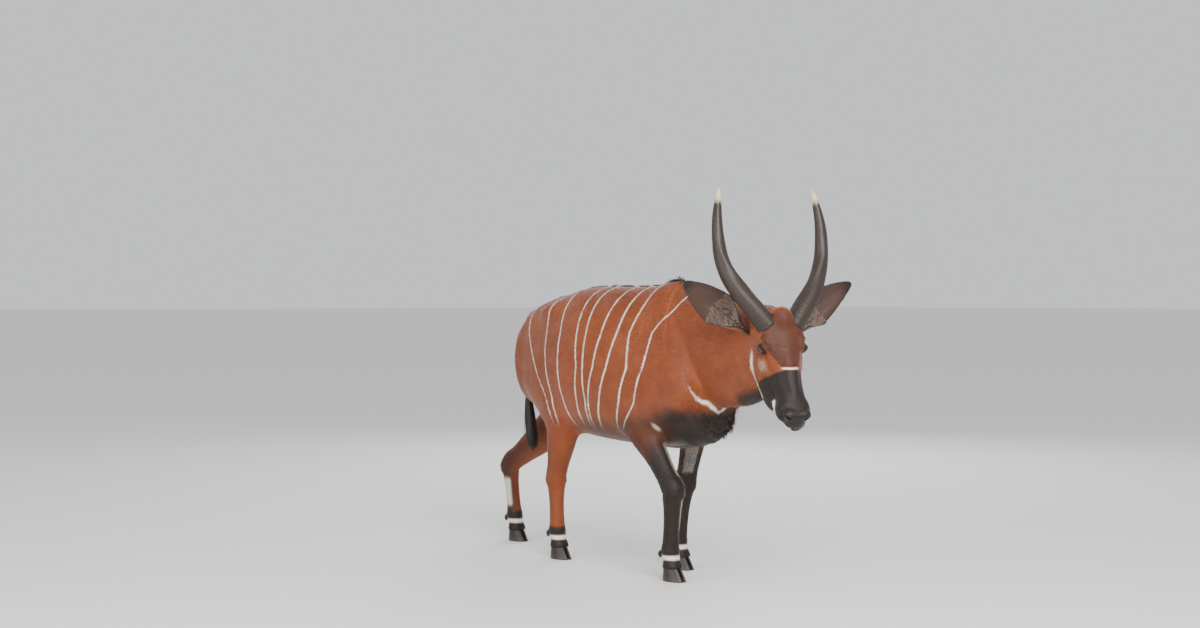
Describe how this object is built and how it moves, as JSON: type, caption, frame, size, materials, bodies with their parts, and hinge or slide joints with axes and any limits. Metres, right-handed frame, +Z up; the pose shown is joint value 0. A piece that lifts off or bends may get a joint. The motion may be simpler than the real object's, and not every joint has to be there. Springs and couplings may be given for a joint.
{
  "type": "bongo antelope",
  "caption": "Life-size standing bongo antelope bull, walking with lowered, turned head, lyre-shaped horns, cloven hooves and a hanging tufted tail.",
  "frame": {"origin": "on the floor, under the middle of the whole animal's bounding box", "axes": "+X along the trunk towards the head, +Y to the animal's left, +Z up"},
  "size_m": [2.2466, 0.6756, 1.646],
  "materials": {
    "coat": "short glossy chestnut hair",
    "dark_coat": "short near-black hair",
    "horn": "satin dark horn with pale tips",
    "hoof": "satin black hoof",
    "eye": "wet, glossy dark brown"
  },
  "bodies": {
    "root": {"torso": "coat", "neck": "coat", "head": "coat", "eye_left": "eye", "horn_left": "horn", "ear_left": "coat", "eye_right": "eye", "horn_right": "horn", "ear_right": "coat", "foreleg_right_upper": "coat", "foreleg_right_middle": "dark_coat", "foreleg_right_lower": "dark_coat", "hoof_foreleg_right_outer": "hoof", "hoof_foreleg_right_inner": "hoof", "foreleg_left_upper": "coat", "foreleg_left_middle": "dark_coat", "foreleg_left_lower": "dark_coat", "hoof_foreleg_left_outer": "hoof", "hoof_foreleg_left_inner": "hoof", "hindleg_right_upper": "coat", "hindleg_right_middle": "coat", "hindleg_right_lower": "dark_coat", "hoof_hindleg_right_outer": "hoof", "hoof_hindleg_right_inner": "hoof", "hindleg_left_upper": "coat", "hindleg_left_middle": "coat", "hindleg_left_lower": "dark_coat", "hoof_hindleg_left_outer": "hoof", "hoof_hindleg_left_inner": "hoof", "tail": "coat"}
  },
  "joints": []
}
